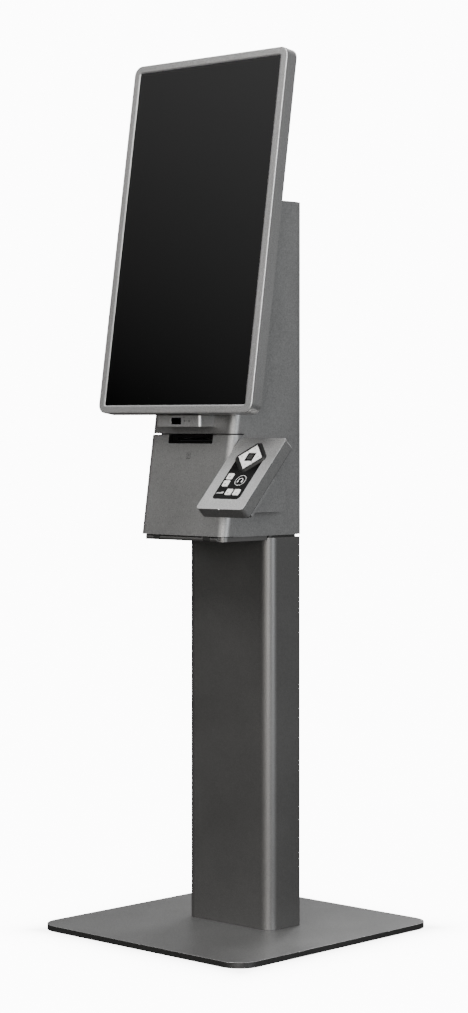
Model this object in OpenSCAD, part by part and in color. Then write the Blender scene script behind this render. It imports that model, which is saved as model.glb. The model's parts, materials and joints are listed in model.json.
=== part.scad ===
// Free-standing touchscreen kiosk: a tall screen on a tapered head, carried by a flat column
// on a square base plate. A receipt printer sits behind a drop-down door, a code scanner
// under the screen, and an accessible keypad on the right-hand side of the head.
// Frame: +Z up, -Y is the front, +X is the user's right, origin at the middle of the floor face.

/* [Base] */
// Width of the base plate
base_w = 490; // [420:1:600]
// Depth of the base plate
base_d = 494; // [420:1:600]
// Thickness of the base plate
base_t = 10; // [8:0.5:16]
// Corner radius of the base plate
base_corner_r = 42; // [20:1:70]
// Thickness of the rubber pads under the plate
pad_t = 2; // [1:0.5:5]

/* [Column] */
// Width of the column tube
column_w = 200; // [160:1:240]
// Depth of the column tube
column_d = 80; // [64:1:100]
// Height of the column tube
column_h = 677.5; // [560:0.5:820]
// Wall of the column tube
column_wall = 3; // [2:0.5:5]
// Radius of the two front corners of the column
column_front_r = 20; // [8:1:24]
// Gap between the column and the head
neck_gap = 4; // [3:0.5:10]

/* [Head] */
// Width of the head
head_w = 200; // [170:1:240]
// Height of the head
head_h = 579; // [520:1:700]
// Depth of the head at its lower edge
head_depth = 195; // [180:1:235]
// Sheet metal of the head
head_wall = 1.5; // [1:0.1:2.5]
// Backward lean of the screen and of the front of the head, in degrees
tilt = 8.5; // [6:0.5:10]
// Depth of the rear service door
rear_door_d = 5; // [4:0.5:10]

/* [Screen] */
// Width of the glass
glass_w = 338; // [300:1:400]
// Height of the glass
glass_h = 598; // [520:1:700]
// Width of the frame beside the glass
bezel_side = 15.5; // [10:0.5:25]
// Width of the frame above and below the glass
bezel_end = 13.8; // [10:0.1:25]
// Depth of the screen frame
screen_d = 25; // [20:1:40]
// Distance from the front of the head to the glass
screen_reach = 51; // [48:1:80]
// Distance along the front from the foot of the head to the glass
screen_rise = 219.3; // [200:0.1:260]

/* [Printer door] */
// Height of the printer door
door_h = 172.5; // [150:0.5:200]
// How far the door wraps round the sides of the head
door_return = 31; // [22:1:36]
// Width of the receipt slot
slot_w = 107; // [90:1:130]
// Height of the receipt slot
slot_h = 15; // [10:1:24]

/* [Keypad] */
// Width of the keypad
key_w = 106.8; // [100:0.2:130]
// Length of the keypad
key_l = 160; // [152:1:180]
// Depth of the keypad casing
key_d = 21; // [19:1:30]
// Angle of the keypad face above level, in degrees
key_lean = 47; // [40:1:55]

/* [Hidden] */
$fn = 64;
fit = 0.05;                 // radial play of a pin or shaft
gap = 0.3;                  // play between seated pieces
cut = 1;                    // overshoot of a cut past a face
slab = 3;                   // thickness of structural plates
pad_r = 16;
pad_inset = 48;
base_top = pad_t + base_t;

// Column and neck
column_back = 58.5;
column_rear_r = 4;
column_mid = column_back - column_d / 2;
column_front = column_back - column_d;
column_top = base_top + column_h;
foot_t = 8;
foot_play = 0.25;
bolt_r = 4;                 // M8 bolts that hold the column and the neck
bolt_head_r = 6.5;
bolt_head_h = 5;
bolt_dx = column_w / 2 - 30;
bolt_dy = column_d / 2 - 22;
duct_r = 20;                // cable hole through the neck
duct_inset = 15;
neck_inset = 5;
head_z = column_top + neck_gap;
head_top = head_z + head_h;

// Sockets low on the back of the column
inlet_z = base_top + 70;
inlet_w = 70;
inlet_h = 50;
socket_w = 27;
socket_h = 20;
jack_w = 16;
jack_h = 14;
inlet_x = -12;
network_x = 18;
inlet_t = 2;

// Head
head_back = 57;
head_front = head_back - head_depth;
half_head = head_w / 2;
bend_r = 14;                // outside radius of the two front corners of the head
shell_back = head_back - rear_door_d - 0.4;
floor_top = head_z + slab;
flange = 12;                // inward folds along the back of the head
tray_h = 8;
tray_inset = 3;
tray_r = 12;
door_gap = 2;               // shadow gap above the printer door
door_top = head_z + cut + door_h;
door_proud = 1;
door_side_play = 0.3;
door_half = half_head + door_side_play + head_wall;
door_lip = 8;
seam_depth = door_return - 5;  // how far the sides of the head are cut back under the door
door_corner_r = 6;          // upper rear corners of the door's returns
hinge_y = head_front + 5;   // axis of the printer door, inside the nose of the tray
hinge_z = head_z - tray_h / 2;
hinge_x = 60;
tray_front = hinge_y - tray_h / 2;
tray_back = column_front - 1.5;
knuckle_w = 16;
pin_r = 1.5;

return_back = head_front + (door_return - door_proud) / cos(tilt) + (door_top - head_z) * tan(tilt);
slot_foot = door_top - slot_h;
slot_r = 2.5;
bezel_play = 0.8;
bezel_flange = 3;
bezel_depth = 12;
exit_w = 82;
exit_h = 5;
magnet_z = door_top - 24;
magnet_h = 16;
magnet_w = 18;
magnet_x = half_head - 25;
magnet_arm = half_head - head_wall - gap - magnet_x;

// Screen, measured in the leaning frame of the head's front
bezel_proud = 1;
bezel_t = 4;
screen_wall = 4;
screen_r = 17;
glass_t = 3;
panel_t = 9;
panel_lip = 3.5;
back_t = 2;
frame_w = glass_w + 2 * bezel_side;
frame_h = glass_h + 2 * bezel_end;
frame_front = -screen_reach - bezel_proud;
frame_back = frame_front + screen_d;
frame_foot = screen_rise - bezel_end;
arm_w = 150;                // mount between the screen and the head
arm_l = 280;
arm_rise = screen_rise + 70;
arm_wall = 3;
vesa = 100;                 // hole spacing of the screen mount
screen_screw_r = 2;
arm_bolt_r = 3;

// Scanner under the screen
scan_w = 106;
scan_reach = 35;            // how far the scanner stands out from the head
scan_h = 19.8;
scan_play = 0.4;            // play under the lower back edge of the screen
scan_z = head_z + frame_foot * cos(tilt) - frame_back * sin(tilt) - scan_h - scan_play;
scan_front = head_front + (scan_z - head_z) * tan(tilt) - scan_reach;
scan_r = 5;
scan_wall = 2;
scan_glass_w = 24;
scan_glass_h = 11.5;
scan_glass_x = -4;
scan_glass_z = scan_z + scan_h / 2;

// Inside of the head
spine_w = 120;
spine_y = head_back - 45;
spine_lip = 18;
shelf_z = head_z + 58;      // shelf that carries the printer
computer_z = head_z + 300;
supply_z = head_z + 150;
printer_w = 104;
printer_front = head_front + 40;
printer_back = printer_front + 90;
printer_top = shelf_z + slab + 92;
roll_r = 38;
roll_w = 80;
roll_y = printer_front + 48;
roll_z = printer_top - 46;
core_r = 8;
lid_t = 4;
ear_w = 6;
lid_hinge_y = printer_back - 5;
lid_hinge_z = printer_top + 5;
platen_r = 5;
platen_y = printer_front + 8;
platen_z = printer_top + 1;
shaft_r = 2;
lock_x = half_head - 26;
lock_z = head_z + head_h / 2;
cam_t = 2;
cam_l = 14;
cam_y = shell_back - head_wall - 0.5 - cam_t;
plug_r = 6;
rear_pin_x = -half_head - 3;
rear_pin_y = shell_back + 0.2;
rear_hinges_at = [70, head_h / 2, head_h - 70];
rear_knuckle = 12;
rear_barrel_r = 2.6;

// Keypad, measured in the plane of its face from its lower left corner
key_x = half_head + 4;
key_y = head_front - 69.4;
key_z = head_z + 51.4;
key_r = 7;
key_wall = 3;
face_t = 2.5;
recess = 1.2;
mid_x = key_w / 2;
overlay_w = 62;
overlay_foot = 22.5;
overlay_r = 7;
pad_cy = 114.5;             // middle of the arrow keys
rim_side = 53.6;
rim_inner = 39;
rim_r = 9;
rim_h = 3;
select_side = 17.5;
arrow_in = 9.4;
arrow_reach = 26.6;
arrow_proud = 3.2;
square_key = 13;
square_proud = 1.5;
side_key_x = mid_x - 19.2;
row_key_x = [mid_x - 0.4, mid_x + 17.2];
side_key_y = [56.3, 71.9];
row_key_y = 37.4;
jack_x = mid_x + 9;
jack_y = 63.8;
jack_r = 1.8;
ring_r = 11.5;
key_play = 0.4;
key_flange = 0.8;
board_t = 1.6;
board_n = -13;
switch_r = 3.2;
switch_top = -5.5;
plunger_r = 1.5;
flange_t = 1.2;
arrow_foot = -recess - gap - flange_t;
square_foot = -face_t - gap - flange_t;
select_proud = arrow_proud - 0.6;
arrow_switch = (arrow_in + arrow_reach) / 2 - 1;
jack_proud = 0.4;
jack_foot = board_n + 1;
side_keys_at = [for (y = side_key_y) [side_key_x, y]];
row_keys_at = [for (x = row_key_x) [x, row_key_y]];
square_keys_at = concat(side_keys_at, row_keys_at);
lid_inset = 2;
lid_gap = 2.5;
plate_t = 5;
plate_inset = 2;
plate_foot = 8.7;
plate_back = -key_d - lid_gap - plate_t;
bracket_low = head_z + 41;
bracket_high = head_z + 100.5;
bracket_back = head_back - 56;
bracket_x = key_x - 0.4;
bracket_out = half_head + 17;
bracket_wall = 2;
bracket_land = head_front + 50;
bracket_mid = (bracket_low + bracket_high) / 2;
bracket_bolts_y = [bracket_land + 12, bracket_back - 12];
bracket_bolt_r = 2.5;
lead_r = 8;
plate_head = (bracket_high - key_z - (plate_back + plate_t) * cos(key_lean)) / sin(key_lean);

steel_dark = [0.27, 0.28, 0.29];
steel_mid = [0.42, 0.43, 0.44];
silver = [0.66, 0.68, 0.7];
black = [0.04, 0.04, 0.045];
white = [0.9, 0.9, 0.88];
zinc = [0.6, 0.6, 0.62];
green = [0.05, 0.3, 0.16];

// ---------- shared shapes ----------

// Rectangle with its own radius on the front (low y) and rear corners, centred on x
module tube_outline(w, d, front_r, rear_r) {
    union() {
        translate([-w / 2, front_r]) square([w, d - front_r - rear_r]);
        translate([-w / 2 + front_r, 0]) square([w - 2 * front_r, d / 2]);
        translate([-w / 2 + rear_r, d / 2]) square([w - 2 * rear_r, d / 2]);
        for (side = [-1, 1]) {
            translate([side * (w / 2 - front_r), front_r]) circle(front_r);
            translate([side * (w / 2 - rear_r), d - rear_r]) circle(rear_r);
        }
    }
}

// Rectangle with four equal round corners, centred
module round_outline(w, d, r) {
    union() {
        square([w - 2 * r, d], center = true);
        square([w, d - 2 * r], center = true);
        for (sx = [-1, 1], sy = [-1, 1])
            translate([sx * (w / 2 - r), sy * (d / 2 - r)]) circle(r);
    }
}

// Places children in the leaning frame of the head's front: x right, y into the head, z up
module on_front() translate([0, head_front, head_z]) rotate([-tilt, 0, 0]) children();

// Places children on the keypad: x right, y up the face, z out of the face
module on_keypad() translate([key_x, key_y, key_z]) rotate([key_lean, 0, 0]) children();

// Prism with the lean of the head's front, cut level at two heights
module leaning(z_low, z_high, y_back) {
    intersection() {
        on_front() translate([0, 0, -head_w]) linear_extrude(head_h + 2 * head_w) children();
        translate([-head_w, head_front - 60, z_low])
            cube([2 * head_w, y_back - head_front + 60, z_high - z_low]);
    }
}

// Rod along X
module rod_x(x, y, z, r, l) translate([x - l / 2, y, z]) rotate([0, 90, 0]) cylinder(r = r, h = l);

// Rod along Y from its front end
module rod_y(x, y, z, r, l) translate([x, y, z]) rotate([-90, 0, 0]) cylinder(r = r, h = l);

// Four bolt places around the middle of the column
module at_column_bolts() for (sx = [-1, 1], sy = [-1, 1])
    translate([sx * bolt_dx, column_mid + sy * bolt_dy, 0]) children();

// ---------- base and column ----------

module base_plate() color(steel_mid) difference() {
    translate([0, 0, pad_t]) linear_extrude(base_t) round_outline(base_w, base_d, base_corner_r);
    at_column_bolts() {
        translate([0, 0, pad_t - cut]) cylinder(r = bolt_r + gap, h = base_t + 2 * cut);
        translate([0, 0, pad_t - cut]) cylinder(r = bolt_head_r + gap, h = bolt_head_h + cut);
    }
}

module base_pads() color(black) for (sx = [-1, 1], sy = [-1, 1])
    translate([sx * (base_w / 2 - pad_inset), sy * (base_d / 2 - pad_inset), 0])
        cylinder(r = pad_r, h = pad_t);

module column_bore(play) translate([0, column_front + column_wall + play, 0])
    tube_outline(column_w - 2 * (column_wall + play), column_d - 2 * (column_wall + play),
        column_front_r - column_wall - play, 1);

module foot_plate() color(steel_dark) difference() {
    translate([0, 0, base_top]) linear_extrude(foot_t) column_bore(foot_play);
    at_column_bolts() translate([0, 0, base_top - cut]) cylinder(r = bolt_r + fit, h = foot_t + 2 * cut);
    translate([0, column_mid, base_top - cut]) cylinder(r = duct_r, h = foot_t + 2 * cut);
}

// Eight bolts: four up through the base plate, four down through the neck
module column_bolts() color(zinc) at_column_bolts() {
    translate([0, 0, pad_t + 0.2]) cylinder(r = bolt_head_r, h = bolt_head_h - 0.2);
    translate([0, 0, pad_t + 0.2]) cylinder(r = bolt_r, h = base_t + foot_t - 0.2);
    translate([0, 0, column_top - foot_t]) cylinder(r = bolt_r, h = foot_t + neck_gap + slab);
    translate([0, 0, floor_top]) cylinder(r = bolt_head_r, h = bolt_head_h);
}

module column_tube() color(steel_dark) difference() {
    translate([0, column_front, base_top]) linear_extrude(column_h)
        tube_outline(column_w, column_d, column_front_r, column_rear_r);
    translate([0, 0, base_top - cut]) linear_extrude(column_h + 2 * cut) column_bore(0);
    translate([-inlet_w / 2 + 6, column_back - column_wall - cut, inlet_z - inlet_h / 2 + 6])
        cube([inlet_w - 12, column_wall + 2 * cut, inlet_h - 12]);
}

module inlet_panel() color(black) difference() {
    translate([-inlet_w / 2, column_back, inlet_z - inlet_h / 2]) cube([inlet_w, inlet_t, inlet_h]);
    translate([inlet_x - socket_w / 2, column_back - cut, inlet_z - socket_h / 2])
        cube([socket_w, inlet_t + 2 * cut, socket_h]);
    translate([network_x - jack_w / 2, column_back - cut, inlet_z - jack_h / 2])
        cube([jack_w, inlet_t + 2 * cut, jack_h]);
}

// Open box with its mouth towards +Y, for a socket in the inlet panel
module socket_box(x, w, h, depth, wall) difference() {
    translate([x - w / 2 + gap, column_back + inlet_t - depth, inlet_z - h / 2 + gap])
        cube([w - 2 * gap, depth, h - 2 * gap]);
    translate([x - w / 2 + gap + wall, column_back + inlet_t - depth + wall, inlet_z - h / 2 + gap + wall])
        cube([w - 2 * (gap + wall), depth, h - 2 * (gap + wall)]);
}

// Mains inlet with three blades, and a network socket
module rear_sockets() color(black) {
    socket_box(inlet_x, socket_w, socket_h, 20, 2);
    for (i = [-1, 0, 1]) translate([inlet_x + i * 5 - 1, column_back - 17, inlet_z - 2 + (i == 0 ? 3 : 0)])
        cube([2, 15, 4]);
    socket_box(network_x, jack_w, jack_h, 16, 1.2);
    translate([network_x - 4, column_back - 13.5, inlet_z - jack_h / 2 + gap + 0.6]) cube([8, 10, 2]);
}

module column_cap_plate() color(steel_dark) difference() {
    translate([0, 0, column_top - foot_t]) linear_extrude(foot_t) column_bore(foot_play);
    at_column_bolts() translate([0, 0, column_top - foot_t - cut])
        cylinder(r = bolt_r + fit, h = foot_t + 2 * cut);
    translate([0, column_mid, column_top - foot_t - cut]) cylinder(r = duct_r + gap, h = foot_t + 2 * cut);
}

module neck_plate() color(black) difference() {
    translate([0, column_mid, column_top]) linear_extrude(neck_gap)
        round_outline(column_w - 2 * neck_inset, column_d - 2 * neck_inset, 6);
    at_column_bolts() translate([0, 0, column_top - cut])
        cylinder(r = bolt_r + gap, h = neck_gap + 2 * cut);
    translate([0, column_mid, column_top - cut]) cylinder(r = duct_r + gap, h = neck_gap + 2 * cut);
}

module cable_grommet() color(black) translate([0, column_mid, 0]) difference() {
    union() {
        translate([0, 0, column_top - foot_t]) cylinder(r = duct_r, h = foot_t + neck_gap + slab);
        translate([0, 0, floor_top]) cylinder(r = duct_r + 3, h = 2);
    }
    translate([0, 0, column_top - foot_t - cut])
        cylinder(r = duct_inset, h = 2 * foot_t + neck_gap + 2 * slab);
}

// ---------- head ----------

module head_outline(inset, r) translate([0, inset])
    tube_outline(head_w - 2 * inset, head_depth + 60, r, 1);

// The printer door covers everything in front of its own return
module door_zone() intersection() {
    on_front() translate([-head_w, -10, -head_w]) cube([2 * head_w, 10 + seam_depth, 3 * head_w]);
    translate([-head_w, -2 * head_w, 0]) cube([2 * head_w, 4 * head_w, door_top + door_gap]);
}

module head_shell() color(steel_mid) difference() {
    union() {
        difference() {
            leaning(head_z, head_top, shell_back) head_outline(0, bend_r);
            leaning(head_z - cut, head_top + cut, shell_back + cut) head_outline(head_wall,
                bend_r - head_wall);
        }
        for (side = [-1, 1])
            translate([side * (half_head - (head_wall + flange) / 2) - (head_wall + flange) / 2,
            shell_back - head_wall, floor_top + gap])
                cube([head_wall + flange, head_wall, head_h - slab - gap - 8]);
    }
    door_zone();
    // screen mount, keypad bracket and its lead
    on_front() for (sx = [-1, 1], v = [30, arm_l - 30])
        rod_y(sx * vesa / 2, -cut, arm_rise + v, arm_bolt_r + gap, head_wall + 2 * cut);
    for (y = bracket_bolts_y) rod_x(half_head, y, bracket_mid, bracket_bolt_r + gap, 8);
    rod_x(half_head, (bracket_land + bracket_back) / 2, bracket_mid, lead_r, 8);
}

module head_floor() color(steel_dark) difference() {
    leaning(head_z, floor_top, shell_back - gap)
        translate([0, bend_r + 4]) tube_outline(head_w - 2 * (head_wall + gap), head_depth, 1, 1);
    at_column_bolts() translate([0, 0, head_z - cut]) cylinder(r = bolt_r + gap, h = slab + 2 * cut);
    translate([0, column_mid, head_z - cut]) cylinder(r = duct_r + gap, h = slab + 2 * cut);
}

module bottom_tray() color(black) difference() {
    union() {
        translate([0, hinge_y, head_z - tray_h]) linear_extrude(tray_h)
            tube_outline(head_w - 2 * tray_inset, tray_back - hinge_y, tray_r, 2);
        rod_x(0, hinge_y, hinge_z, tray_h / 2, head_w - 2 * (tray_inset + tray_r));
    }
    for (side = [-1, 1]) {
        translate([side * hinge_x - knuckle_w / 2 - 0.5, tray_front - cut, head_z - tray_h - cut])
            cube([knuckle_w + 1, tray_h + 1.5, tray_h + 2 * cut]);
        rod_x(side * hinge_x, hinge_y, hinge_z, pin_r + fit, 3 * knuckle_w);
    }
}

module door_hinge_pins() color(zinc) for (side = [-1, 1])
    rod_x(side * hinge_x, hinge_y, hinge_z, pin_r, 3 * knuckle_w - 2);

module top_cover() color(steel_mid) leaning(head_top - 4, head_top - 2, shell_back)
    head_outline(head_wall + 0.2, bend_r - head_wall - 0.2);

// Upright channel that carries the boards and ties the floor to the top
module spine_frame() color(zinc) difference() {
    union() {
        translate([-spine_w / 2, spine_y, floor_top]) cube([spine_w, 2, head_h - slab - 4]);
        for (side = [-1, 1]) translate([side * (spine_w / 2 - 1) - 1, spine_y, floor_top])
            cube([2, spine_lip, head_h - slab - 4]);
    }
    translate([-duct_r - 5, spine_y - cut, floor_top - cut]) cube([2 * duct_r + 10, 2 + 2 * cut, 50]);
}

// Box with a hollow inside, vent slots in its back wall
module vented_box(w, d, h, wall, slots) difference() {
    translate([-w / 2, 0, 0]) cube([w, d, h]);
    translate([-w / 2 + wall, wall, wall]) cube([w - 2 * wall, d - 2 * wall, h - 2 * wall]);
    for (i = [0 : slots - 1]) translate([-w / 2 + 15, d - wall - cut, 15 + i * (h - 30) / (slots - 1) - 2])
        cube([w - 30, wall + 2 * cut, 4]);
}

module computer_case() color(steel_dark)
    translate([0, spine_y + 2, computer_z]) vented_box(110, 30, 170, 2, 9);

module power_supply() color(zinc) translate([0, spine_y + 2, supply_z]) vented_box(100, 28, 120, 2, 6);

module printer_shelf() color(zinc) {
    translate([-half_head + head_wall + gap, printer_front - 2, shelf_z])
        cube([head_w - 2 * (head_wall + gap), spine_y - printer_front + 1.7, slab]);
    for (side = [-1, 1])
        translate([side * (half_head - head_wall - gap - 1) - 1, printer_front + 10, shelf_z - 15])
        cube([2, spine_y - printer_front - 14, 15]);
}

// ---------- rear service door ----------

module rear_door() color(steel_dark) difference() {
    translate([-half_head, shell_back + 0.4, head_z + 0.5]) cube([head_w, rear_door_d, head_h - 1]);
    translate([-half_head + head_wall, shell_back + 0.4 - cut, head_z + 0.5 + head_wall])
        cube([head_w - 2 * head_wall, rear_door_d + cut - head_wall, head_h - 1 - 2 * head_wall]);
    rod_y(lock_x, head_back - head_wall - cut, lock_z, 9 + gap, head_wall + 2 * cut);
    for (i = [0 : 9]) translate([-45, head_back - head_wall - cut, head_top - 60 - i * 10])
        cube([90, head_wall + 2 * cut, 4]);
}

// Knuckle bands of the rear hinges: the door carries the middle one
module rear_knuckle_at(z, h, r) translate([rear_pin_x, rear_pin_y, head_z + z - h / 2])
    cylinder(r = r, h = h);

module rear_door_leaves() color(zinc) for (z = rear_hinges_at) difference() {
    union() {
        rear_knuckle_at(z, rear_knuckle - 0.6, rear_barrel_r);
        translate([-half_head - 1.2, rear_pin_y + 0.6, head_z + z - rear_knuckle / 2 + 0.3])
            cube([1.2, rear_door_d - 0.6, rear_knuckle - 0.6]);
        translate([rear_pin_x, rear_pin_y + 1.2, head_z + z - rear_knuckle / 2 + 0.3])
            cube([2.9, 1.2, rear_knuckle - 0.6]);
    }
    rear_knuckle_at(z, rear_knuckle + 2, pin_r + fit);
}

module rear_hinges() color(zinc) for (z = rear_hinges_at) difference() {
    union() {
        for (dz = [-rear_knuckle, rear_knuckle]) {
            rear_knuckle_at(z + dz, rear_knuckle, rear_barrel_r);
            translate([rear_pin_x, rear_pin_y - 2.4, head_z + z + dz - rear_knuckle / 2])
                cube([2.9, 1.2, rear_knuckle]);
        }
        translate([-half_head - 1.2, rear_pin_y - 22, head_z + z - 20]) cube([1.2, 18, 40]);
        for (dz = [-rear_knuckle, rear_knuckle])
            translate([-half_head - 1.2, rear_pin_y - 5, head_z + z + dz - rear_knuckle / 2])
                cube([1.2, 4, rear_knuckle]);
    }
    for (dz = [-rear_knuckle, rear_knuckle]) rear_knuckle_at(z + dz, rear_knuckle + 2, pin_r + fit);
}

module rear_hinge_pins() color(zinc) for (z = rear_hinges_at) rear_knuckle_at(z, 3 * rear_knuckle + 2,
    pin_r);

module lock_barrel() color(zinc) difference() {
    union() {
        rod_y(lock_x, cam_y + cam_t + 0.5, lock_z, 9, head_back - cam_y - cam_t - 0.5);
        rod_y(lock_x, head_back, lock_z, 11, 2);
    }
    rod_y(lock_x, cam_y - cut, lock_z, plug_r + fit, head_back - cam_y + 4);
}

module lock_plug() color(silver) difference() {
    rod_y(lock_x, cam_y + cam_t, lock_z, plug_r, head_back + 1.5 - cam_y - cam_t);
    translate([lock_x - 0.8, head_back - 3, lock_z - 3.5]) cube([1.6, 6, 7]);
}

// Cam of the lock: upright when open, turned outward behind the fold of the head when locked
module lock_cam() color(zinc) {
    rod_y(lock_x, cam_y, lock_z, plug_r, cam_t);
    rod_y(lock_x, cam_y, lock_z + cam_l, plug_r - 1, cam_t);
    translate([lock_x - plug_r + 1, cam_y, lock_z]) cube([2 * plug_r - 2, cam_t, cam_l]);
}

// ---------- screen ----------

module screen_outline(inset, r) translate([0, frame_foot + frame_h / 2])
    round_outline(frame_w - 2 * inset, frame_h - 2 * inset, r);

// Extrudes an outline drawn as x, height into the depth of the screen
module through(front, depth) on_front()
    translate([0, front + depth, 0]) rotate([90, 0, 0]) linear_extrude(depth) children();

module screen_frame() color(silver) difference() {
    through(frame_front, screen_d) screen_outline(0, screen_r);
    through(frame_front - cut, screen_d) translate([-glass_w / 2, screen_rise]) square([glass_w, glass_h]);
    through(frame_front + bezel_t, screen_d) screen_outline(screen_wall, screen_r - screen_wall);
}

module cover_glass() color(black) through(-screen_reach, glass_t)
    translate([-glass_w / 2 + 0.2, screen_rise + 0.2])
    square([glass_w - 0.4, glass_h - 0.4]);

module screen_panel() color(zinc) through(frame_front + bezel_t + 0.1, panel_t)
    translate([-glass_w / 2 - panel_lip, screen_rise - panel_lip])
        square([glass_w + 2 * panel_lip, glass_h + 2 * panel_lip]);

at_vesa = [for (sx = [-1, 1], v = [-1, 1]) [sx * vesa / 2, arm_rise + arm_l / 2 + v * vesa / 2]];

module screen_back() color(black) difference() {
    union() {
        through(frame_back - back_t, back_t) screen_outline(screen_wall + 0.2,
            screen_r - screen_wall - 0.2);
        for (p = at_vesa) on_front() rod_y(p[0], frame_back - 11, p[1], 5, 10);
    }
    for (p = at_vesa) on_front() rod_y(p[0], frame_back - 8, p[1], screen_screw_r + fit, 10);
}

module screen_arm() color(steel_dark) on_front() difference() {
    translate([-arm_w / 2, frame_back, arm_rise]) cube([arm_w, -frame_back, arm_l]);
    translate([-arm_w / 2 + arm_wall, frame_back + arm_wall, arm_rise - cut])
        cube([arm_w - 2 * arm_wall, -frame_back - 2 * arm_wall, arm_l + 2 * cut]);
    for (p = at_vesa) rod_y(p[0], frame_back - cut, p[1], screen_screw_r + gap, arm_wall + 2 * cut);
    for (sx = [-1, 1], v = [30, arm_l - 30])
        rod_y(sx * vesa / 2, -arm_wall - cut, arm_rise + v, arm_bolt_r + gap, arm_wall + 2 * cut);
}

module screen_screws() color(zinc) on_front() for (p = at_vesa) {
    rod_y(p[0], frame_back - 7, p[1], screen_screw_r, 7 + arm_wall);
    rod_y(p[0], frame_back + arm_wall, p[1], 3.5, 2.5);
}

module arm_bolts() color(zinc) on_front() for (sx = [-1, 1], v = [30, arm_l - 30]) {
    rod_y(sx * vesa / 2, -arm_wall - 4, arm_rise + v, 5, 4);
    rod_y(sx * vesa / 2, -arm_wall, arm_rise + v, arm_bolt_r, arm_wall + head_wall + 8);
    rod_y(sx * vesa / 2, head_wall, arm_rise + v, 5.5, 5);
}

// ---------- scanner ----------

module scan_outline(inset, r) translate([0, scan_front + inset])
    tube_outline(scan_w - 2 * inset, 200, r, 1);

// Keeps children in front of the head
module ahead_of_head() difference() {
    children();
    on_front() translate([-head_w, -0.2, -head_w]) cube([2 * head_w, 3 * head_w, 3 * head_w]);
}

module scanner_housing() color(silver) ahead_of_head() difference() {
    translate([0, 0, scan_z]) linear_extrude(scan_h) scan_outline(0, scan_r);
    translate([0, 0, scan_z + scan_wall])
        linear_extrude(scan_h - 2 * scan_wall) scan_outline(scan_wall, scan_r - scan_wall);
    translate([scan_glass_x - scan_glass_w / 2, scan_front - cut, scan_glass_z - scan_glass_h / 2])
        cube([scan_glass_w, scan_wall + 2 * cut, scan_glass_h]);
}

module scanner_window() color(black)
    translate([scan_glass_x - scan_glass_w / 2 + 0.1, scan_front + 0.5,
        scan_glass_z - scan_glass_h / 2 + 0.1])
        cube([scan_glass_w - 0.2, 1.5, scan_glass_h - 0.2]);

module scan_engine() color(zinc) difference() {
    translate([scan_glass_x - 12, scan_front + 2.3, scan_z + scan_wall])
        cube([24, 18, scan_h - 2 * scan_wall - gap]);
    rod_y(scan_glass_x, scan_front + 2.3 - cut, scan_glass_z, 3.5, 6);
}

// ---------- printer door ----------

module door_skin(extra) translate([0, -door_proud + extra])
    tube_outline(2 * (door_half - extra), door_return + 30, bend_r + 1.5 - extra, 1);

module printer_door() color(steel_mid) difference() {
    union() {
        difference() {
            leaning(head_z + cut, door_top, head_back) door_skin(0);
            leaning(head_z, door_top + cut, head_back + cut) door_skin(head_wall);
        }
        for (z = [head_z + cut, door_top - head_wall]) intersection() {
            leaning(z, z + head_wall, head_back) door_skin(0.5);
            on_front() translate([-half_head + bend_r, -10, -head_w])
                cube([head_w - 2 * bend_r, 10 + door_lip, 3 * head_w]);
        }
        for (side = [-1, 1]) {
            rod_x(side * hinge_x, hinge_y, hinge_z, tray_h / 2, knuckle_w);
            translate([side * hinge_x - knuckle_w / 2, tray_front, hinge_z])
                cube([knuckle_w, tray_h / 2, tray_h / 2 + 2 * cut]);
        }
    }
    on_front() translate([-head_w, door_return - door_proud, -head_w])
        cube([2 * head_w, head_w, 3 * head_w]);
    along_x(-head_w, head_w)
        translate([return_back - door_corner_r, door_top - door_corner_r]) difference() {
        square(2 * door_corner_r);
        circle(door_corner_r);
    }
    translate([0, head_back, slot_foot]) rotate([90, 0, 0]) linear_extrude(2 * head_depth)
        translate([0, slot_h]) round_outline(slot_w, 2 * slot_h, slot_r);
    for (side = [-1, 1]) rod_x(side * hinge_x, hinge_y, hinge_z, pin_r + fit, knuckle_w + 2);
}

// Black tray behind the slot, with the mouth that the receipt leaves by
module receipt_bezel() color(black) difference() {
    union() {
        leaning(slot_foot + bezel_play, door_top - gap, head_back)
            translate([-slot_w / 2 + bezel_play, -door_proud + 0.4])
                square([slot_w - 2 * bezel_play, bezel_depth]);
        leaning(slot_foot - bezel_flange, door_top - head_wall - gap, head_back)
            translate([-slot_w / 2 - bezel_flange, head_wall - door_proud + 0.1])
                square([slot_w + 2 * bezel_flange, 1.2]);
    }
    leaning(slot_foot + 2, door_top + cut, head_back) translate([-slot_w / 2 + 2, -door_proud - cut])
        square([slot_w - 4, bezel_depth - 1]);
    leaning(slot_foot + 5, slot_foot + 5 + exit_h, head_back) translate([-exit_w / 2, -10])
        square([exit_w, 60]);
}

// Magnetic catches on the sides of the head, which hold the printer door shut
module door_magnets() color(black) for (side = [-1, 1]) leaning(magnet_z, magnet_z + magnet_h, head_back) {
    translate([side * magnet_x - magnet_w / 2, head_wall - door_proud + gap])
        square([magnet_w, seam_depth + 5]);
    translate([side * (magnet_x + magnet_arm / 2) - magnet_arm / 2, seam_depth + 1]) square([magnet_arm, 4]);
}

// ---------- receipt printer ----------

module printer_body() color(steel_dark) difference() {
    union() {
        translate([-printer_w / 2, printer_front, shelf_z + slab])
            cube([printer_w, printer_back - printer_front, printer_top - shelf_z - slab]);
        for (side = [-1, 1])
            translate([side * (printer_w / 2 - ear_w / 2) - ear_w / 2, lid_hinge_y - 5, printer_top - cut])
            cube([ear_w, 10, 11]);
    }
    rod_x(0, roll_y, roll_z, roll_r + 0.5, roll_w + 1);
    translate([-roll_w / 2 - 0.5, roll_y - roll_r - 0.5, roll_z]) cube([roll_w + 1, 2 * roll_r + 1, 100]);
    rod_x(0, platen_y, platen_z, platen_r + 0.8, printer_w - 6);
    rod_x(0, lid_hinge_y, lid_hinge_z, pin_r + fit, printer_w + 2);
}

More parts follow.
